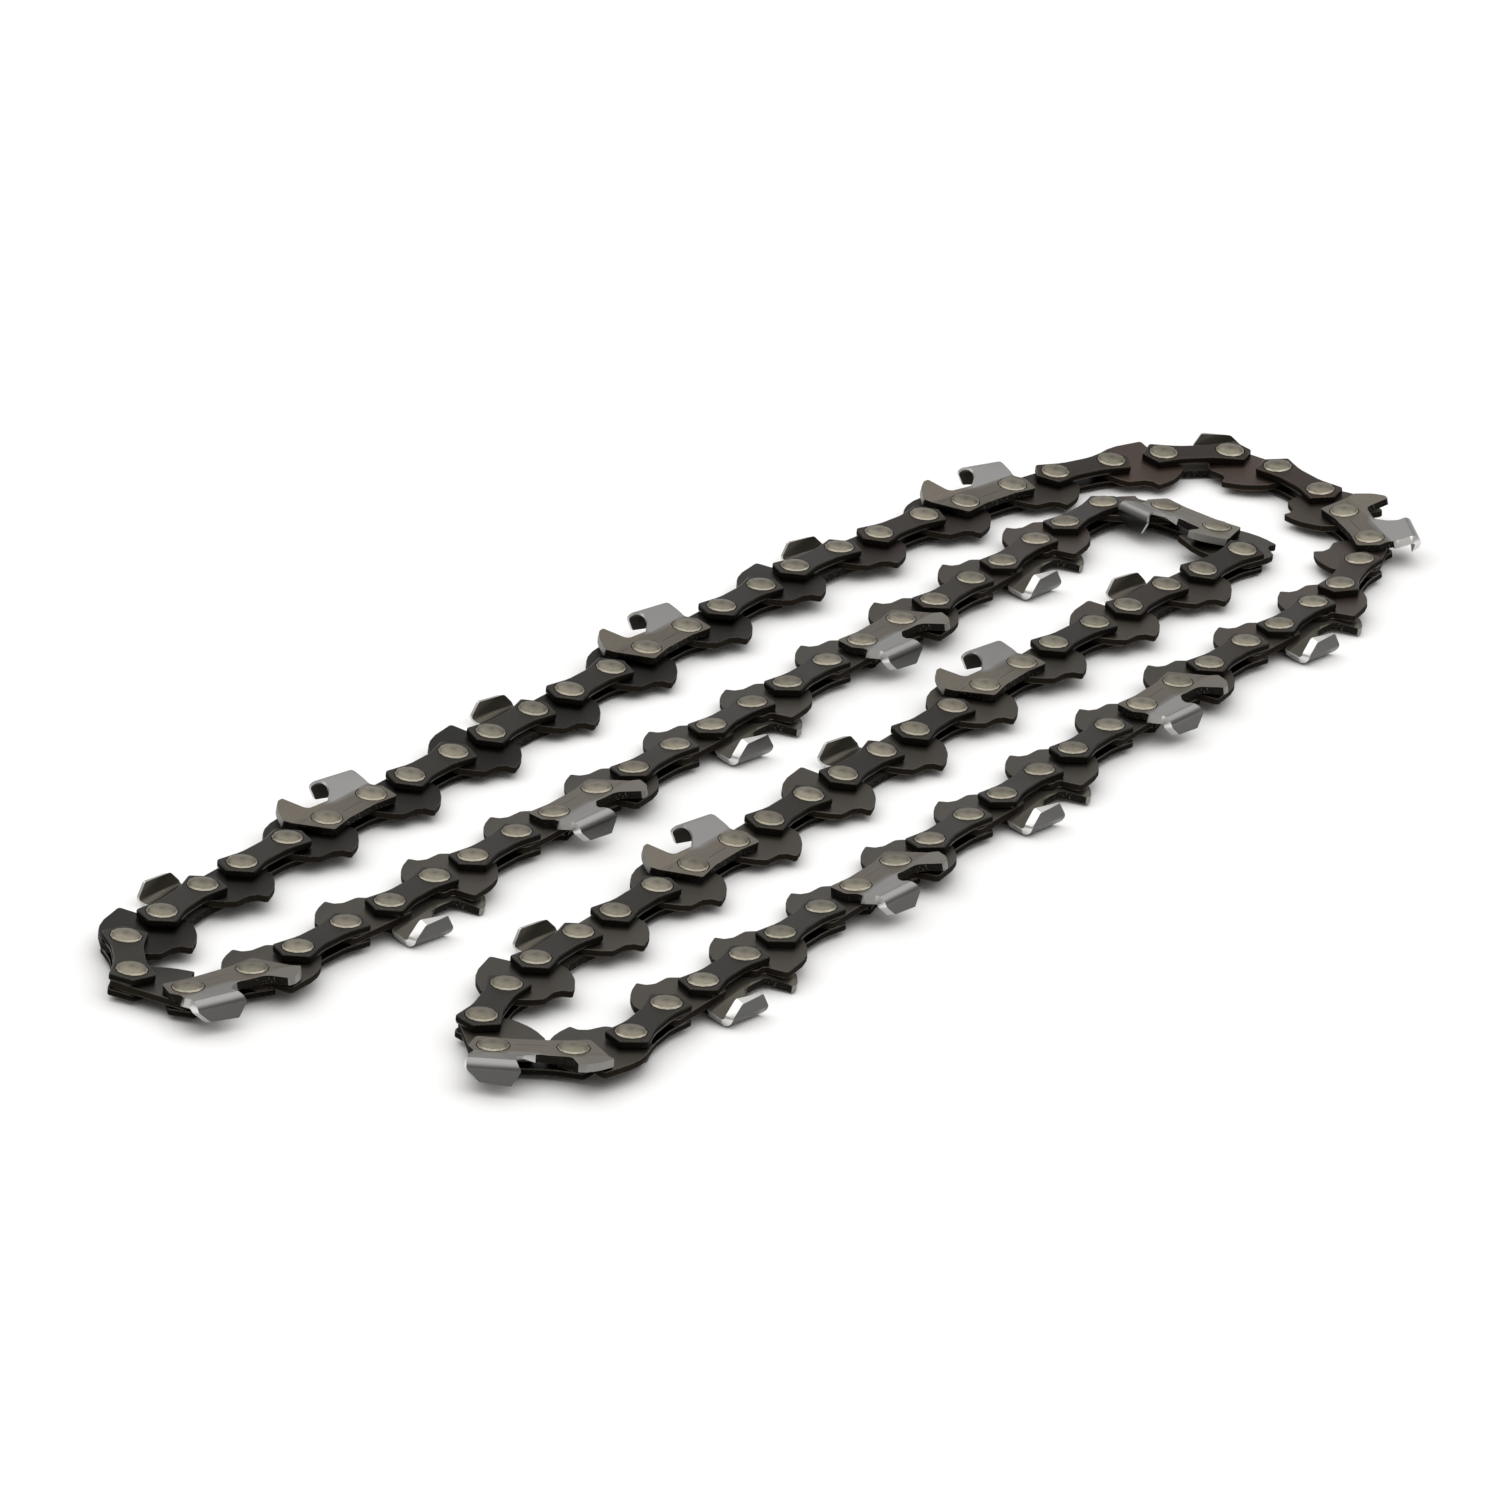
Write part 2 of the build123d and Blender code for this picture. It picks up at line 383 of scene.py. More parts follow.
def leanOut(point, normal, bend, lean):
    rise = point.y - bend.y
    if rise <= 0:
        return point, normal
    turn = lean * min(1, rise / (cutter["bendRadius"] * lean))
    tilt = Matrix.Rotation(turn, 3, "X")
    pivot = Vector((point.x, bend.y, 0))
    return pivot + tilt @ (point - pivot), tilt @ normal


def makeCutter(name, mirrored):
    shape = cutterShape()
    along, away, edge = shape["along"], shape["away"], shape["edge"]
    top = []
    for reach, share, radius in cutter["top"]:
        spot = edge + along * reach + away * shape["width"] * share
        top.append((spot.x, spot.y, radius))
    corners = cutter["gauge"] + cutter["gullet"] + top + cutter["back"] + cutter["foot"]
    steps, bendSteps = cutter["foldSteps"], cutter["bendSteps"]
    bendLength = cutter["bendRadius"] * shape["lean"]
    heights = [cutter["bendLine"] + bendLength * k / bendSteps for k in range(bendSteps + 1)]
    heights.append(cutter["risen"][0])
    foldLines = [(Vector((0, height, 0)), Vector((0, 1, 0))) for height in heights]
    foldLines += [(Vector((cutter[key], 0, 0)), Vector((1, 0, 0))) for key in ("bendFrom", "bendFull")]
    foldLines += [(edge + away * shape["rolled"] * k / steps, away) for k in range(steps + 1)]
    source = pressSheet(name, corners, layers["plate"] / 2, cutter["rim"], cutterForm(shape), foldLines,
                        cutter["trims"])
    if mirrored:
        source.data.transform(Matrix.Scale(-1, 4, (0, 0, 1)))
        source.data.flip_normals()
    return source


# Rivet head: peened dome with a dimple, standing just off the plate
head = {
    "profile": [(0.6, 0.5), (1.5, 0.42), (1.9, 0.23), (2.06, 0.02)],
    "dimple": 0.43,
    "dimpleShade": 0.5,
    "seat": [(2.19, 0.004)],         # painted shadow, partly oil: a flat near-black ring around the head, for the gap under its rim
    "sides": 12,
}


def makeHead():
    bm = bmesh.new()
    local = bm.verts.layers.float_vector.new("local")
    inner = bm.faces.layers.float.new("inner")
    rimWear = bm.faces.layers.float.new("rimWear")
    wall = bm.verts.layers.float.new("wall")
    rise = layers["plateInner"] + layers["plate"]
    centre = bm.verts.new((0, 0, rise + head["dimple"]))
    # painted shade: the dimple's centre takes the finish's darker wall colour
    centre[wall] = head["dimpleShade"]
    rings = []
    for radius, height in head["profile"] + head["seat"]:
        ring = []
        for k in range(head["sides"]):
            angle = 2 * math.pi * k / head["sides"]
            ring.append(bm.verts.new((radius * math.cos(angle), radius * math.sin(angle), rise + height)))
        rings.append(ring)
    for k in range(head["sides"]):
        n = (k + 1) % head["sides"]
        bm.faces.new((centre, rings[0][k], rings[0][n]))
        for step, (near, far) in enumerate(zip(rings, rings[1:]), 1):
            face = bm.faces.new((near[k], far[k], far[n], near[n]))
            face[rimWear] = step == len(head["profile"]) - 1
            face[inner] = step == len(head["profile"])
    bm.faces.new(list(reversed(rings[-1])))
    for vert in bm.verts:
        vert[local] = vert.co
    return finishSource("headSource", bm, pressed=False)


sources = {
    "strap": makeStrap(),
    "plainLink": makeDriveLink("plainLinkSource", False),
    "bumperLink": makeDriveLink("bumperLinkSource", True),
    "leftCutter": makeCutter("leftCutterSource", False),
    "rightCutter": makeCutter("rightCutterSource", True),
    "head": makeHead(),
}
print("sources made:", {name: len(source.data.polygons) for name, source in sources.items()})


def addNode(tree, kind, place, **settings):
    node = tree.nodes.new(kind)
    node.location = place
    for key, value in settings.items():
        setattr(node, key, value)
    return node


def newGroup(name, inputs, outputs):
    group = bpy.data.node_groups.new(name, "ShaderNodeTree")
    for direction, sockets in (("INPUT", inputs), ("OUTPUT", outputs)):
        for socket in sockets:
            group.interface.new_socket(socket, in_out=direction, socket_type="NodeSocketFloat")
    entry = addNode(group, "NodeGroupInput", (-900, 0))
    leave = addNode(group, "NodeGroupOutput", (900, 0))
    return group, entry, leave


# Textures that all finishes share
texture = {
    "grainDetail": 4,
    "stainDetail": 3,
    "stainScale": 60.0,              # per metre of the loop
    "stainRange": (0.3, 0.7),        # noise values that reach the ends of a finish's roughness
    "speckleDetail": 5,
    "speckleRoughness": 0.65,
    "rimSpots": (0.3, 0.6),          # noise values between which rim wear and painted highlights set in
    "wallSpots": (0.61, 0.74),
    "grainShare": 0.6,               # of a link's shade, the rest is its own tint
    "tintShare": 0.4,
    "bumpDepth": 0.1 * mm,
}


# Shader group: fine grain in each link's own mm, stain over the loop
def makeGrainGroup():
    group, entry, leave = newGroup("steelGrain", ("Grain Scale", "Stretch"), ("Grain", "Stain", "Tint"))
    local = addNode(group, "ShaderNodeAttribute", (-900, 250), attribute_name="local")
    shape = addNode(group, "ShaderNodeCombineXYZ", (-650, 50))
    shape.inputs["Y"].default_value = 1
    shape.inputs["Z"].default_value = 1
    squeeze = addNode(group, "ShaderNodeVectorMath", (-450, 200), operation="MULTIPLY")
    grain = addNode(group, "ShaderNodeTexNoise", (-200, 250))
    grain.inputs["Detail"].default_value = texture["grainDetail"]
    place = addNode(group, "ShaderNodeTexCoord", (-450, -150))
    stain = addNode(group, "ShaderNodeTexNoise", (-200, -150))
    stain.inputs["Detail"].default_value = texture["stainDetail"]
    stain.inputs["Scale"].default_value = texture["stainScale"]
    tint = addNode(group, "ShaderNodeAttribute", (-200, -450), attribute_name="tint")
    join = group.links.new
    join(entry.outputs["Stretch"], shape.inputs["X"])
    join(local.outputs["Vector"], squeeze.inputs[0])
    join(shape.outputs[0], squeeze.inputs[1])
    join(squeeze.outputs[0], grain.inputs["Vector"])
    join(entry.outputs["Grain Scale"], grain.inputs["Scale"])
    join(place.outputs["Object"], stain.inputs["Vector"])
    join(grain.outputs["Fac"], leave.inputs["Grain"])
    join(stain.outputs["Fac"], leave.inputs["Stain"])
    join(tint.outputs["Fac"], leave.inputs["Tint"])
    return group


# Shader group: masks of the pressed sheet, from the pieces' own marks; the wall mask places painted shade,
# the wall speckle painted glints, the rim mask wear and painted highlights
def makeWearGroup():
    group, entry, leave = newGroup("sheetMasks", ("Rim Wear", "Wall Speckle", "Speckle Scale"),
                                   ("Rim", "Wall", "Speckle", "Ground", "Inner"))
    marks = {}
    for row, name in enumerate(("rimWear", "wall", "ground", "inner", "local")):
        marks[name] = addNode(group, "ShaderNodeAttribute", (-900, 500 - 200 * row), attribute_name=name)
    join = group.links.new
    speckle = addNode(group, "ShaderNodeTexNoise", (-600, 450))
    speckle.inputs["Detail"].default_value = texture["speckleDetail"]
    speckle.inputs["Roughness"].default_value = texture["speckleRoughness"]
    join(marks["local"].outputs["Vector"], speckle.inputs["Vector"])
    join(entry.outputs["Speckle Scale"], speckle.inputs["Scale"])

    def spotted(mark, share, place, limits):
        spots = addNode(group, "ShaderNodeMapRange", (place[0] - 250, place[1]))
        spots.inputs["From Min"].default_value, spots.inputs["From Max"].default_value = limits
        patch = addNode(group, "ShaderNodeMath", place, operation="MULTIPLY")
        worn = addNode(group, "ShaderNodeMath", (place[0] + 250, place[1]), operation="MULTIPLY")
        join(speckle.outputs["Fac"], spots.inputs["Value"])
        join(spots.outputs[0], patch.inputs[0])
        join(mark.outputs["Fac"], patch.inputs[1])
        join(patch.outputs[0], worn.inputs[0])
        join(entry.outputs[share], worn.inputs[1])
        return worn.outputs[0]

    join(spotted(marks["rimWear"], "Rim Wear", (-100, 350), texture["rimSpots"]), leave.inputs["Rim"])
    join(spotted(marks["wall"], "Wall Speckle", (-100, 50), texture["wallSpots"]), leave.inputs["Speckle"])
    plainWall = addNode(group, "ShaderNodeMath", (-100, -200), operation="SUBTRACT", use_clamp=True)
    join(marks["wall"].outputs["Fac"], plainWall.inputs[0])
    join(marks["ground"].outputs["Fac"], plainWall.inputs[1])
    join(plainWall.outputs[0], leave.inputs["Wall"])
    join(marks["ground"].outputs["Fac"], leave.inputs["Ground"])
    join(marks["inner"].outputs["Fac"], leave.inputs["Inner"])
    return group


# Shader group: fine pressing lines along a cutter, at heights and between ends in mm of the link
score = {"lines": [(-0.4, 3.2, 7.4), (2.9, 5.4, 11.6), (1.7, -3.6, -2.2)], "width": 0.055}


def makeScoreGroup():
    group, entry, leave = newGroup("scoreLines", ("Line Width",), ("Score",))
    local = addNode(group, "ShaderNodeAttribute", (-900, 300), attribute_name="local")
    axes = addNode(group, "ShaderNodeSeparateXYZ", (-700, 300))
    join = group.links.new
    join(local.outputs["Vector"], axes.inputs[0])
    total = None
    for row, (height, start, end) in enumerate(score["lines"]):
        depth = -300 * row
        across = addNode(group, "ShaderNodeMath", (-450, depth), operation="COMPARE")
        across.inputs[1].default_value = height
        join(axes.outputs["Y"], across.inputs[0])
        join(entry.outputs["Line Width"], across.inputs[2])
        along = addNode(group, "ShaderNodeMath", (-450, depth - 150), operation="COMPARE")
        along.inputs[1].default_value = (start + end) / 2
        along.inputs[2].default_value = (end - start) / 2
        join(axes.outputs["X"], along.inputs[0])
        line = addNode(group, "ShaderNodeMath", (-200, depth), operation="MULTIPLY")
        join(across.outputs[0], line.inputs[0])
        join(along.outputs[0], line.inputs[1])
        if total is None:
            total = line
            continue
        both = addNode(group, "ShaderNodeMath", (100 + 200 * row, depth), operation="MAXIMUM")
        join(total.outputs[0], both.inputs[0])
        join(line.outputs[0], both.inputs[1])
        total = both
    join(total.outputs[0], leave.inputs["Score"])
    return group


grainGroup = makeGrainGroup()
wearGroup = makeWearGroup()
scoreGroup = makeScoreGroup()

# Finishes: colours are linear, grain counts per mm of the link, and dull is what walls and inner faces lose
# of their metallic look
finishes = {
    "strapOxide": {
        "dark": (0.011, 0.0098, 0.0080), "light": (0.034, 0.030, 0.0245), "wall": (0.009, 0.008, 0.0065),
        "worn": (0.13, 0.12, 0.10), "inner": (0.006, 0.0055, 0.005), "warm": (0.042, 0.022, 0.016),
        "rim": 0.3, "speckle": 0.25, "spots": 4.0, "rough": (0.28, 0.44), "grain": 5.0, "stretch": 1.0,
        "bump": 0.06, "dull": (0.9, 0.0),
    },
    "driveOxide": {
        "dark": (0.034, 0.0305, 0.025), "light": (0.082, 0.073, 0.060), "wall": (0.016, 0.0125, 0.0098),
        "worn": (0.17, 0.15, 0.125), "warm": (0.075, 0.045, 0.035), "soot": (0.008, 0.0072, 0.0059),
        "rim": 0.3, "speckle": 0.3, "spots": 4.0, "rough": (0.32, 0.46), "grain": 5.0, "stretch": 1.0,
        "bump": 0.06, "dull": (0.9, 0.0),
    },
    "cutterSteel": {
        "dark": (0.105, 0.092, 0.073), "light": (0.205, 0.182, 0.150), "wall": (0.014, 0.0125, 0.0105),
        "worn": (0.62, 0.60, 0.56), "inner": (0.11, 0.101, 0.084), "upright": (0.27, 0.268, 0.265),
        "topPlate": (0.105, 0.104, 0.102), "ground": (0.72, 0.71, 0.69), "score": (0.045, 0.04, 0.033),
        "rim": 0.8, "speckle": 0.6, "spots": 4.0, "rough": (0.26, 0.38), "grain": 3.0, "stretch": 0.12,
        "bump": 0.06, "dull": (0.9, 0.35),
    },
    "rivetSteel": {
        "dark": (0.12, 0.109, 0.084), "light": (0.265, 0.241, 0.187), "wall": (0.05, 0.045, 0.036),
        "worn": (0.40, 0.37, 0.305), "inner": (0.003, 0.0027, 0.0022),
        "rim": 1.0, "speckle": 0.0, "spots": 0.5, "rough": (0.32, 0.46), "grain": 2.2, "stretch": 1.0,
        "bump": 0.10, "dull": (0.0, 1.0),
    },
}
warmth = {"axis": "X", "from": 0.03, "to": 0.13}       # metres along the loop where brown tempering sets in
soot = {"axis": "Y", "from": 0.016, "to": 0.027}       # and across it, where painted shade darkens the drive links of the far run


def colourMix(tree, factor, first, second, place):
    mix = addNode(tree, "ShaderNodeMix", place, data_type="RGBA")
    tree.links.new(factor, mix.inputs["Factor"])
    for socket, value in ((mix.inputs[6], first), (mix.inputs[7], second)):
        if isinstance(value, tuple):
            socket.default_value = (*value, 1)
        else:
            tree.links.new(value, socket)
    return mix.outputs[2]


# How far a change that spreads over the loop has come, from 0 to 1
def spread(tree, change, left):
    place = addNode(tree, "ShaderNodeTexCoord", (left, 700))
    axes = addNode(tree, "ShaderNodeSeparateXYZ", (left + 200, 700))
    ramp = addNode(tree, "ShaderNodeMapRange", (left + 400, 700))
    ramp.inputs["From Min"].default_value = change["from"]
    ramp.inputs["From Max"].default_value = change["to"]
    tree.links.new(place.outputs["Object"], axes.inputs[0])
    tree.links.new(axes.outputs[change["axis"]], ramp.inputs["Value"])
    return ramp.outputs[0]


def steelColour(tree, look, grain, wear):
    mottle = addNode(tree, "ShaderNodeMath", (-1300, 120), operation="MULTIPLY")
    mottle.inputs[1].default_value = texture["grainShare"]
    tree.links.new(grain.outputs["Grain"], mottle.inputs[0])
    shade = addNode(tree, "ShaderNodeMath", (-1300, 300), operation="MULTIPLY_ADD")
    shade.inputs[1].default_value = texture["tintShare"]
    tree.links.new(grain.outputs["Tint"], shade.inputs[0])
    tree.links.new(mottle.outputs[0], shade.inputs[2])
    colour = colourMix(tree, shade.outputs[0], look["dark"], look["light"], (-1100, 250))
    # painted shade: drive links turn darker across the loop towards the far run
    if "soot" in look:
        colour = colourMix(tree, spread(tree, soot, -1700), colour, look["soot"], (-1000, 300))
    if "warm" in look:
        patchy = addNode(tree, "ShaderNodeMath", (-900, 600), operation="MULTIPLY")
        tree.links.new(spread(tree, warmth, -1500), patchy.inputs[0])
        tree.links.new(grain.outputs["Tint"], patchy.inputs[1])
        colour = colourMix(tree, patchy.outputs[0], colour, look["warm"], (-900, 350))
    if "score" in look:
        lines = addNode(tree, "ShaderNodeGroup", (-1100, 500), node_tree=scoreGroup)
        lines.inputs["Line Width"].default_value = score["width"]
        colour = colourMix(tree, lines.outputs["Score"], colour, look["score"], (-850, 400))
    # the upright's colour is its plating; the top plate's darker copy of it is painted shade, for its
    # darker reflection
    for row, mark in enumerate(("upright", "topPlate")):
        if mark in look:
            plating = addNode(tree, "ShaderNodeAttribute", (-900, 600 + 200 * row), attribute_name=mark)
            colour = colourMix(tree, plating.outputs["Fac"], colour, look[mark], (-700, 350 + 200 * row))
    if "inner" in look:                  # drive links look the same on both faces
        # on rivet heads the inner colour is a painted shadow ring around the head
        colour = colourMix(tree, wear.outputs["Inner"], colour, look["inner"], (-600, 250))
    # painted shade: walls take a darker colour than the faces, on drive links with a rust-brown tint, on
    # rivet heads in the dimple
    colour = colourMix(tree, wear.outputs["Wall"], colour, look["wall"], (-500, 200))
    # painted glints: sparse light specks on the walls
    colour = colourMix(tree, wear.outputs["Speckle"], colour, look["worn"], (-400, 200))
    # rims: light worn edges, partly painted highlights, also on the rivet heads' outer slope
    colour = colourMix(tree, wear.outputs["Rim"], colour, look["worn"], (-300, 150))
    # ground edges are bright bare metal; at the heel the same colour is a painted highlight
    if "ground" in look:
        colour = colourMix(tree, wear.outputs["Ground"], colour, look["ground"], (-200, 150))
    return colour


def bareMetal(tree, look, wear):
    wallLoss, innerLoss = look["dull"]
    walls = addNode(tree, "ShaderNodeMath", (-600, -150), operation="MULTIPLY_ADD")
    walls.inputs[1].default_value = -wallLoss
    walls.inputs[2].default_value = 1
    tree.links.new(wear.outputs["Wall"], walls.inputs[0])
    faces = addNode(tree, "ShaderNodeMath", (-400, -150), operation="MULTIPLY_ADD")
    faces.inputs[1].default_value = -innerLoss
    tree.links.new(wear.outputs["Inner"], faces.inputs[0])
    tree.links.new(walls.outputs[0], faces.inputs[2])
    return faces.outputs[0]


def makeFinish(name):
    look = finishes[name]
    material = bpy.data.materials.new(name)
    material.use_nodes = True
    tree = material.node_tree
    surface = tree.nodes["Principled BSDF"]
    grain = addNode(tree, "ShaderNodeGroup", (-1500, 200), node_tree=grainGroup)
    grain.inputs["Grain Scale"].default_value = look["grain"]
    grain.inputs["Stretch"].default_value = look["stretch"]
    wear = addNode(tree, "ShaderNodeGroup", (-1500, -150), node_tree=wearGroup)
    wear.inputs["Rim Wear"].default_value = look["rim"]
    wear.inputs["Wall Speckle"].default_value = look["speckle"]
    wear.inputs["Speckle Scale"].default_value = look["spots"]
    tree.links.new(steelColour(tree, look, grain, wear), surface.inputs["Base Color"])
    tree.links.new(bareMetal(tree, look, wear), surface.inputs["Metallic"])
    surface.inputs["Specular IOR Level"].default_value = 0
    rough = addNode(tree, "ShaderNodeMapRange", (-500, -100))
    rough.inputs["From Min"].default_value, rough.inputs["From Max"].default_value = texture["stainRange"]
    rough.inputs["To Min"].default_value, rough.inputs["To Max"].default_value = look["rough"]
    tree.links.new(grain.outputs["Stain"], rough.inputs["Value"])
    tree.links.new(rough.outputs[0], surface.inputs["Roughness"])
    bump = addNode(tree, "ShaderNodeBump", (-300, -350))
    bump.inputs["Strength"].default_value = look["bump"]
    bump.inputs["Distance"].default_value = texture["bumpDepth"]
    tree.links.new(grain.outputs["Grain"], bump.inputs["Height"])
    tree.links.new(bump.outputs[0], surface.inputs["Normal"])
    return material


materials = {name: makeFinish(name) for name in finishes}
print("finishes made:", len(materials))


# Geometry nodes: sets a source piece on every point of a row, each with its own turn and tint
def makeRowTree():
    tree = bpy.data.node_groups.new("linkRow", "GeometryNodeTree")
    sockets = {"Places": "Geometry", "Piece": "Object", "Finish": "Material", "Tint Seed": "Int"}
    for name, kind in sockets.items():
        tree.interface.new_socket(name, in_out="INPUT", socket_type="NodeSocket" + kind)
    tree.interface.new_socket("Row", in_out="OUTPUT", socket_type="NodeSocketGeometry")
    entry = addNode(tree, "NodeGroupInput", (-900, 0))
    leave = addNode(tree, "NodeGroupOutput", (900, 0))
    piece = addNode(tree, "GeometryNodeObjectInfo", (-650, -200))
    turn = addNode(tree, "GeometryNodeInputNamedAttribute", (-650, -450), data_type="FLOAT_VECTOR")
    turn.inputs["Name"].default_value = "turn"
    swing = addNode(tree, "FunctionNodeEulerToRotation", (-400, -450))
    instance = addNode(tree, "GeometryNodeInstanceOnPoints", (-150, 0))
    chance = addNode(tree, "FunctionNodeRandomValue", (-150, -350), data_type="FLOAT")
    store = addNode(tree, "GeometryNodeStoreNamedAttribute", (100, 0), data_type="FLOAT", domain="INSTANCE")
    store.inputs["Name"].default_value = "tint"
    realize = addNode(tree, "GeometryNodeRealizeInstances", (350, 0))
    finish = addNode(tree, "GeometryNodeSetMaterial", (600, 0))
    join = tree.links.new
    join(entry.outputs["Places"], instance.inputs["Points"])
    join(entry.outputs["Piece"], piece.inputs["Object"])
    join(piece.outputs["Geometry"], instance.inputs["Instance"])
    join(turn.outputs["Attribute"], swing.inputs[0])
    join(swing.outputs[0], instance.inputs["Rotation"])
    join(entry.outputs["Tint Seed"], chance.inputs["Seed"])
    join(instance.outputs[0], store.inputs["Geometry"])
    value = next(s for s in chance.outputs if s.enabled and s.type == "VALUE")
    target = next(s for s in store.inputs if s.enabled and s.type == "VALUE")
    join(value, target)
    join(store.outputs[0], realize.inputs["Geometry"])
    join(realize.outputs[0], finish.inputs["Geometry"])
    join(entry.outputs["Finish"], finish.inputs["Material"])
    join(finish.outputs[0], leave.inputs["Row"])
    return tree


rowTree = makeRowTree()
rowSockets = {item.name: item.identifier for item in rowTree.interface.items_tree if item.in_out == "INPUT"}


def layRow(name, places, source, finish, seed):
    points = bpy.data.meshes.new(name + "Places")
    points.from_pydata([place for place, turn in places], [], [])
    turns = points.attributes.new("turn", "FLOAT_VECTOR", "POINT")
    for mark, (place, turn) in zip(turns.data, places):
        mark.vector = turn
    row = bpy.data.objects.new(name + "Row", points)
    bpy.context.scene.collection.objects.link(row)
    modifier = row.modifiers.new("row", "NODES")
    modifier.node_group = rowTree
    modifier[rowSockets["Piece"]] = source
    modifier[rowSockets["Finish"]] = finish
    modifier[rowSockets["Tint Seed"]] = seed
    mesh = evaluatedMesh(row)
    bpy.data.objects.remove(row)
    bpy.data.meshes.remove(points)
    piece = bpy.data.objects.new(name, mesh)
    bpy.context.scene.collection.objects.link(piece)
    return piece


# What each link of the loop is made of: the order repeats every eight links
order = {"cutterCycle": 8, "leftPlace": 2, "rightPlace": 6, "bumperCycle": 4, "bumperPlace": 1}


def sortPieces():
    rows = {}
    nodes = {}

    def put(section, kind, link, flipped=False, along=0, node=None):
        turn = (link["lean"] + (math.pi if flipped else 0), 0, link["heading"])
        spot = link["place"] + Matrix.Rotation(link["heading"], 3, "Z") @ Vector((along * mm, 0, 0))
        rows.setdefault((section, kind), []).append((spot, turn))
        if node:
            nodes.setdefault((section, kind), []).append(node)

    for number, link in enumerate(links):
        section = link["section"]
        if number % 2:
            bumper = number % order["bumperCycle"] == order["bumperPlace"]
            put(section, "bumperLink" if bumper else "plainLink", link)
            continue
        cycle = number // order["cutterCycle"] + 1
        place = number % order["cutterCycle"]
        if place == order["leftPlace"]:
            put(section, "leftCutter", link, node=f"left_cutter_{cycle:02d}")
            put(section, "strap", link, flipped=True)
        elif place == order["rightPlace"]:
            put(section, "strap", link)
            put(section, "rightCutter", link, node=f"right_cutter_{cycle:02d}")
        else:
            put(section, "strap", link)
            put(section, "strap", link, flipped=True)
        for flipped in (False, True):
            for along in (0, loop["sideSpan"]):
                put(section, "head", link, flipped, along)
    for section in frame["bodies"]:
        for kind, group in (("strap", "tie_straps"), ("plainLink", "plain_drive_links"),
                            ("bumperLink", "bumper_drive_links")):
            nodes[(section, kind)] = [f"{section}_{group}"]
    return rows, nodes


kinds = {
    "strap": {"label": "Straps", "finish": "strapOxide", "slot": "strap_steel"},
    "plainLink": {"label": "PlainLinks", "finish": "driveOxide", "slot": "link_steel"},
    "bumperLink": {"label": "BumperLinks", "finish": "driveOxide", "slot": "link_steel"},
    "leftCutter": {"label": "LeftCutters", "finish": "cutterSteel", "slot": "cutter_steel"},
    "rightCutter": {"label": "RightCutters", "finish": "cutterSteel", "slot": "cutter_steel"},
    "head": {"label": "RivetHeads", "finish": "rivetSteel", "slot": "cutter_steel"},
}


def dressChain():
    rows, nodes = sortPieces()
    triangles = 0
    for seed, ((section, kind), places) in enumerate(sorted(rows.items())):
        look = kinds[kind]
        first, *rest = section.split("_")
        name = first + "".join(word.capitalize() for word in rest) + look["label"]
        piece = layRow(name, places, sources[kind], materials[look["finish"]], seed)
        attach(piece, section)
        if (section, kind) in nodes:
            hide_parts(*nodes[(section, kind)])
        triangles += sum(len(p.vertices) - 2 for p in piece.data.polygons)
    print("rows laid:", len(rows), "triangles:", triangles)


dressChain()
for source in sources.values():
    bpy.data.objects.remove(source)

# Floor, light and camera
stage = {"floorSize": 6.0, "floorColour": (0.93, 0.93, 0.93), "floorRoughness": 0.9,
         "world": 0.38, "worldColour": (1.0, 0.98, 0.945)}
lamps = [
    {"name": "overheadLight", "place": (0.05, 0.03, 1.2), "aim": (0.05, 0.03, 0),
     "size": (3.0, 3.0), "power": 33},
    {"name": "backLight", "place": (1.9, 1.15, 0.42), "aim": (0, 0, 0.1),
     "size": (3.0, 0.6), "power": 2.8},
]
camera = {"foot": (-0.97491, -0.58832), "height": 0.4904, "heading": 31.615, "tilt": 23.364, "roll": 3.144,
          "lens": 221.65, "sensor": 36.0, "clip": (0.05, 20)}


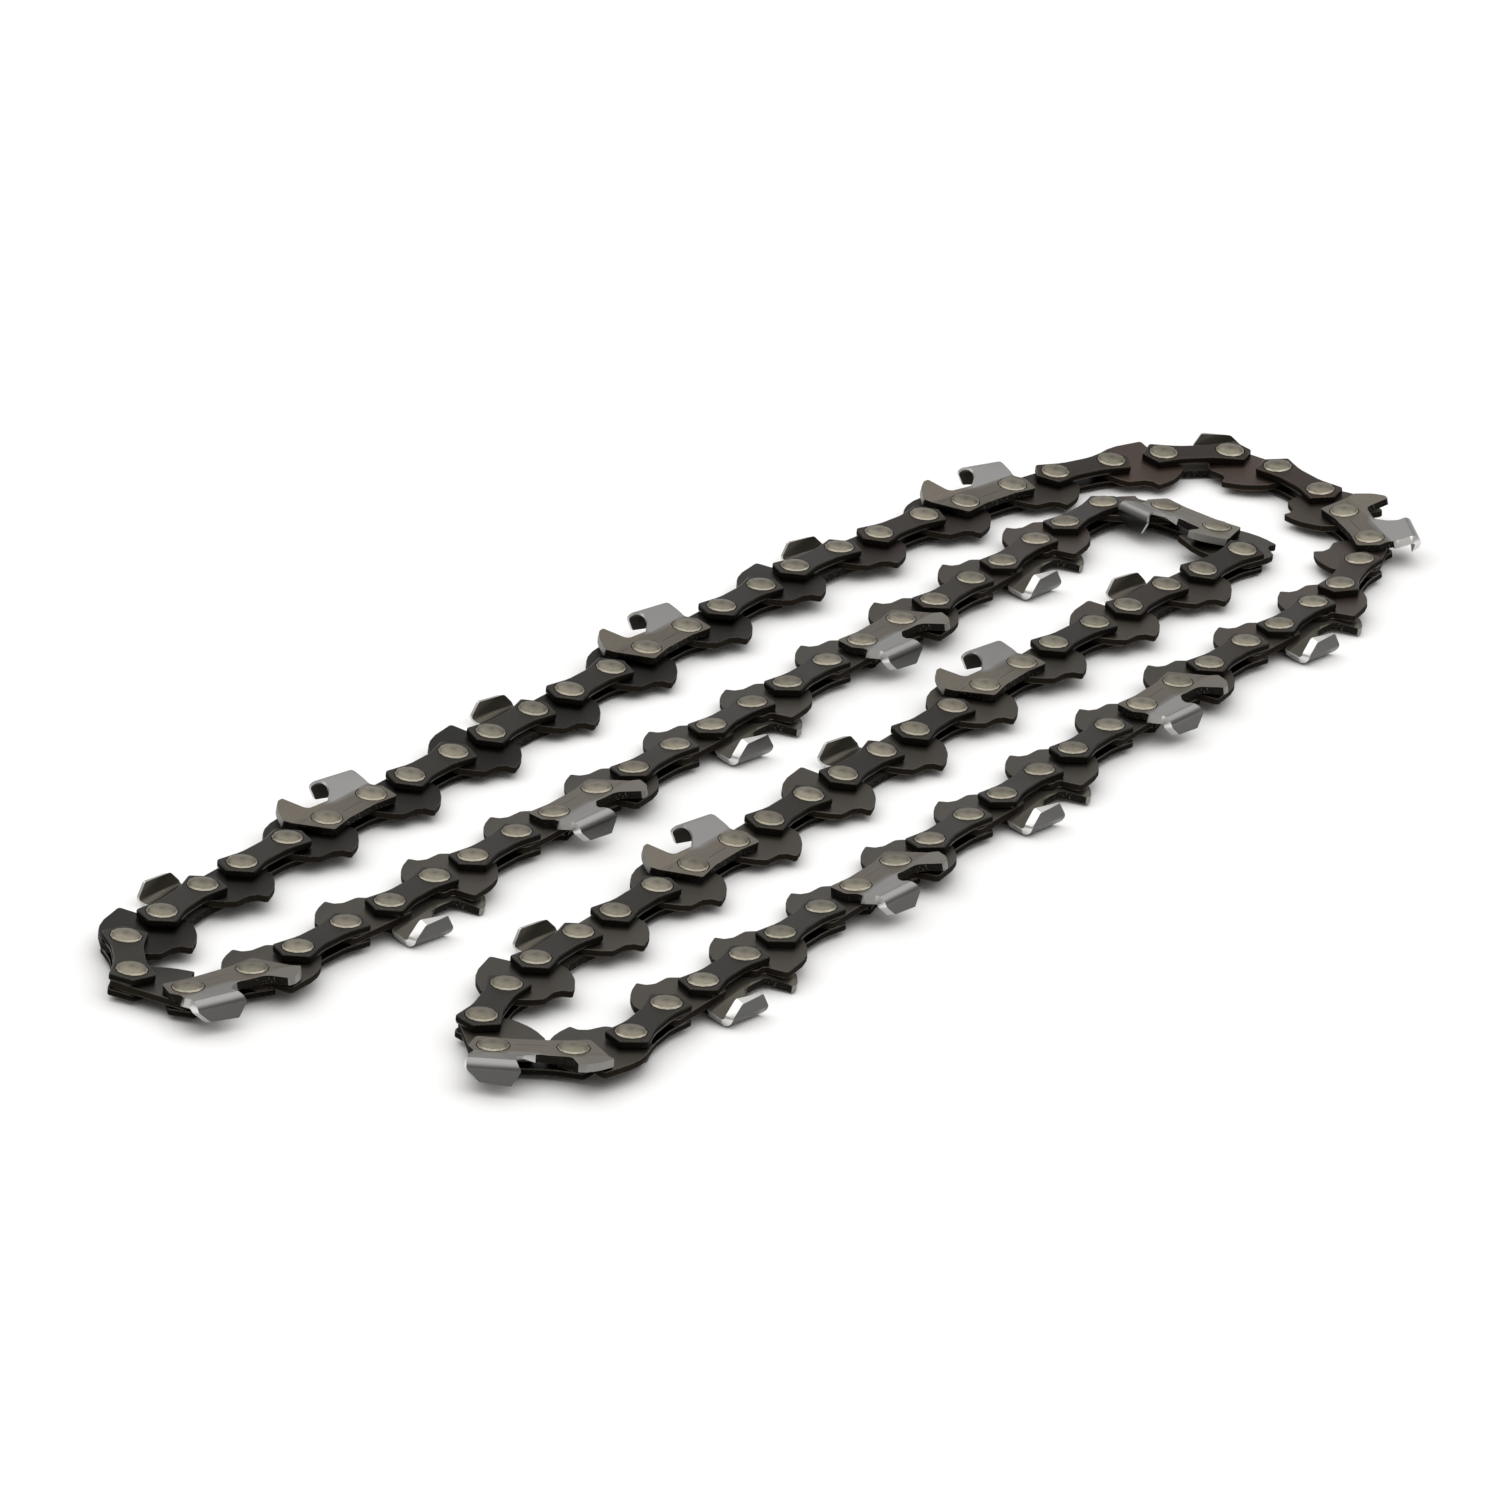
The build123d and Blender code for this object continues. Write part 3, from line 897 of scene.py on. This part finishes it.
def makeFloor():
    half = stage["floorSize"] / 2
    mesh = bpy.data.meshes.new("floor")
    corners = [(-half, -half, 0), (half, -half, 0), (half, half, 0), (-half, half, 0)]
    mesh.from_pydata(corners, [], [(0, 1, 2, 3)])
    floor = bpy.data.objects.new("floor", mesh)
    bpy.context.scene.collection.objects.link(floor)
    paper = bpy.data.materials.new("palePaper")
    paper.use_nodes = True
    surface = paper.node_tree.nodes["Principled BSDF"]
    surface.inputs["Base Color"].default_value = (*stage["floorColour"], 1)
    surface.inputs["Roughness"].default_value = stage["floorRoughness"]
    surface.inputs["Specular IOR Level"].default_value = 0
    mesh.materials.append(paper)


def makeLights():
    world = bpy.data.worlds.new("studio")
    world.use_nodes = True
    backdrop = world.node_tree.nodes["Background"]
    backdrop.inputs["Color"].default_value = (*stage["worldColour"], 1)
    backdrop.inputs["Strength"].default_value = stage["world"]
    bpy.context.scene.world = world
    for lamp in lamps:
        light = bpy.data.lights.new(lamp["name"], "AREA")
        light.shape = "RECTANGLE"
        light.size, light.size_y = lamp["size"]
        light.energy = lamp["power"]
        holder = bpy.data.objects.new(lamp["name"], light)
        holder.location = lamp["place"]
        aim = Vector(lamp["aim"]) - holder.location
        holder.rotation_euler = aim.to_track_quat("-Z", "Y").to_euler()
        bpy.context.scene.collection.objects.link(holder)


def makeCamera():
    lens = bpy.data.cameras.new("camera")
    lens.lens = camera["lens"]
    lens.sensor_width = camera["sensor"]
    lens.sensor_fit = "HORIZONTAL"
    lens.clip_start, lens.clip_end = camera["clip"]
    heading, tilt, roll = (math.radians(camera[key]) for key in ("heading", "tilt", "roll"))
    level = Vector((math.cos(heading), math.sin(heading), 0))
    ahead = level * math.cos(tilt) + Vector((0, 0, -math.sin(tilt)))
    right = Vector((math.sin(heading), -math.cos(heading), 0))
    up = right.cross(ahead)
    rolledRight = right * math.cos(roll) + up * math.sin(roll)
    rolledUp = up * math.cos(roll) - right * math.sin(roll)
    holder = bpy.data.objects.new("camera", lens)
    axes = Matrix((rolledRight, rolledUp, -ahead)).transposed()
    holder.matrix_world = Matrix.Translation((*camera["foot"], camera["height"])) @ axes.to_4x4()
    bpy.context.scene.collection.objects.link(holder)
    bpy.context.scene.camera = holder


makeFloor()
makeLights()
makeCamera()
bpy.context.scene.view_settings.view_transform = "Standard"
print("stage set")
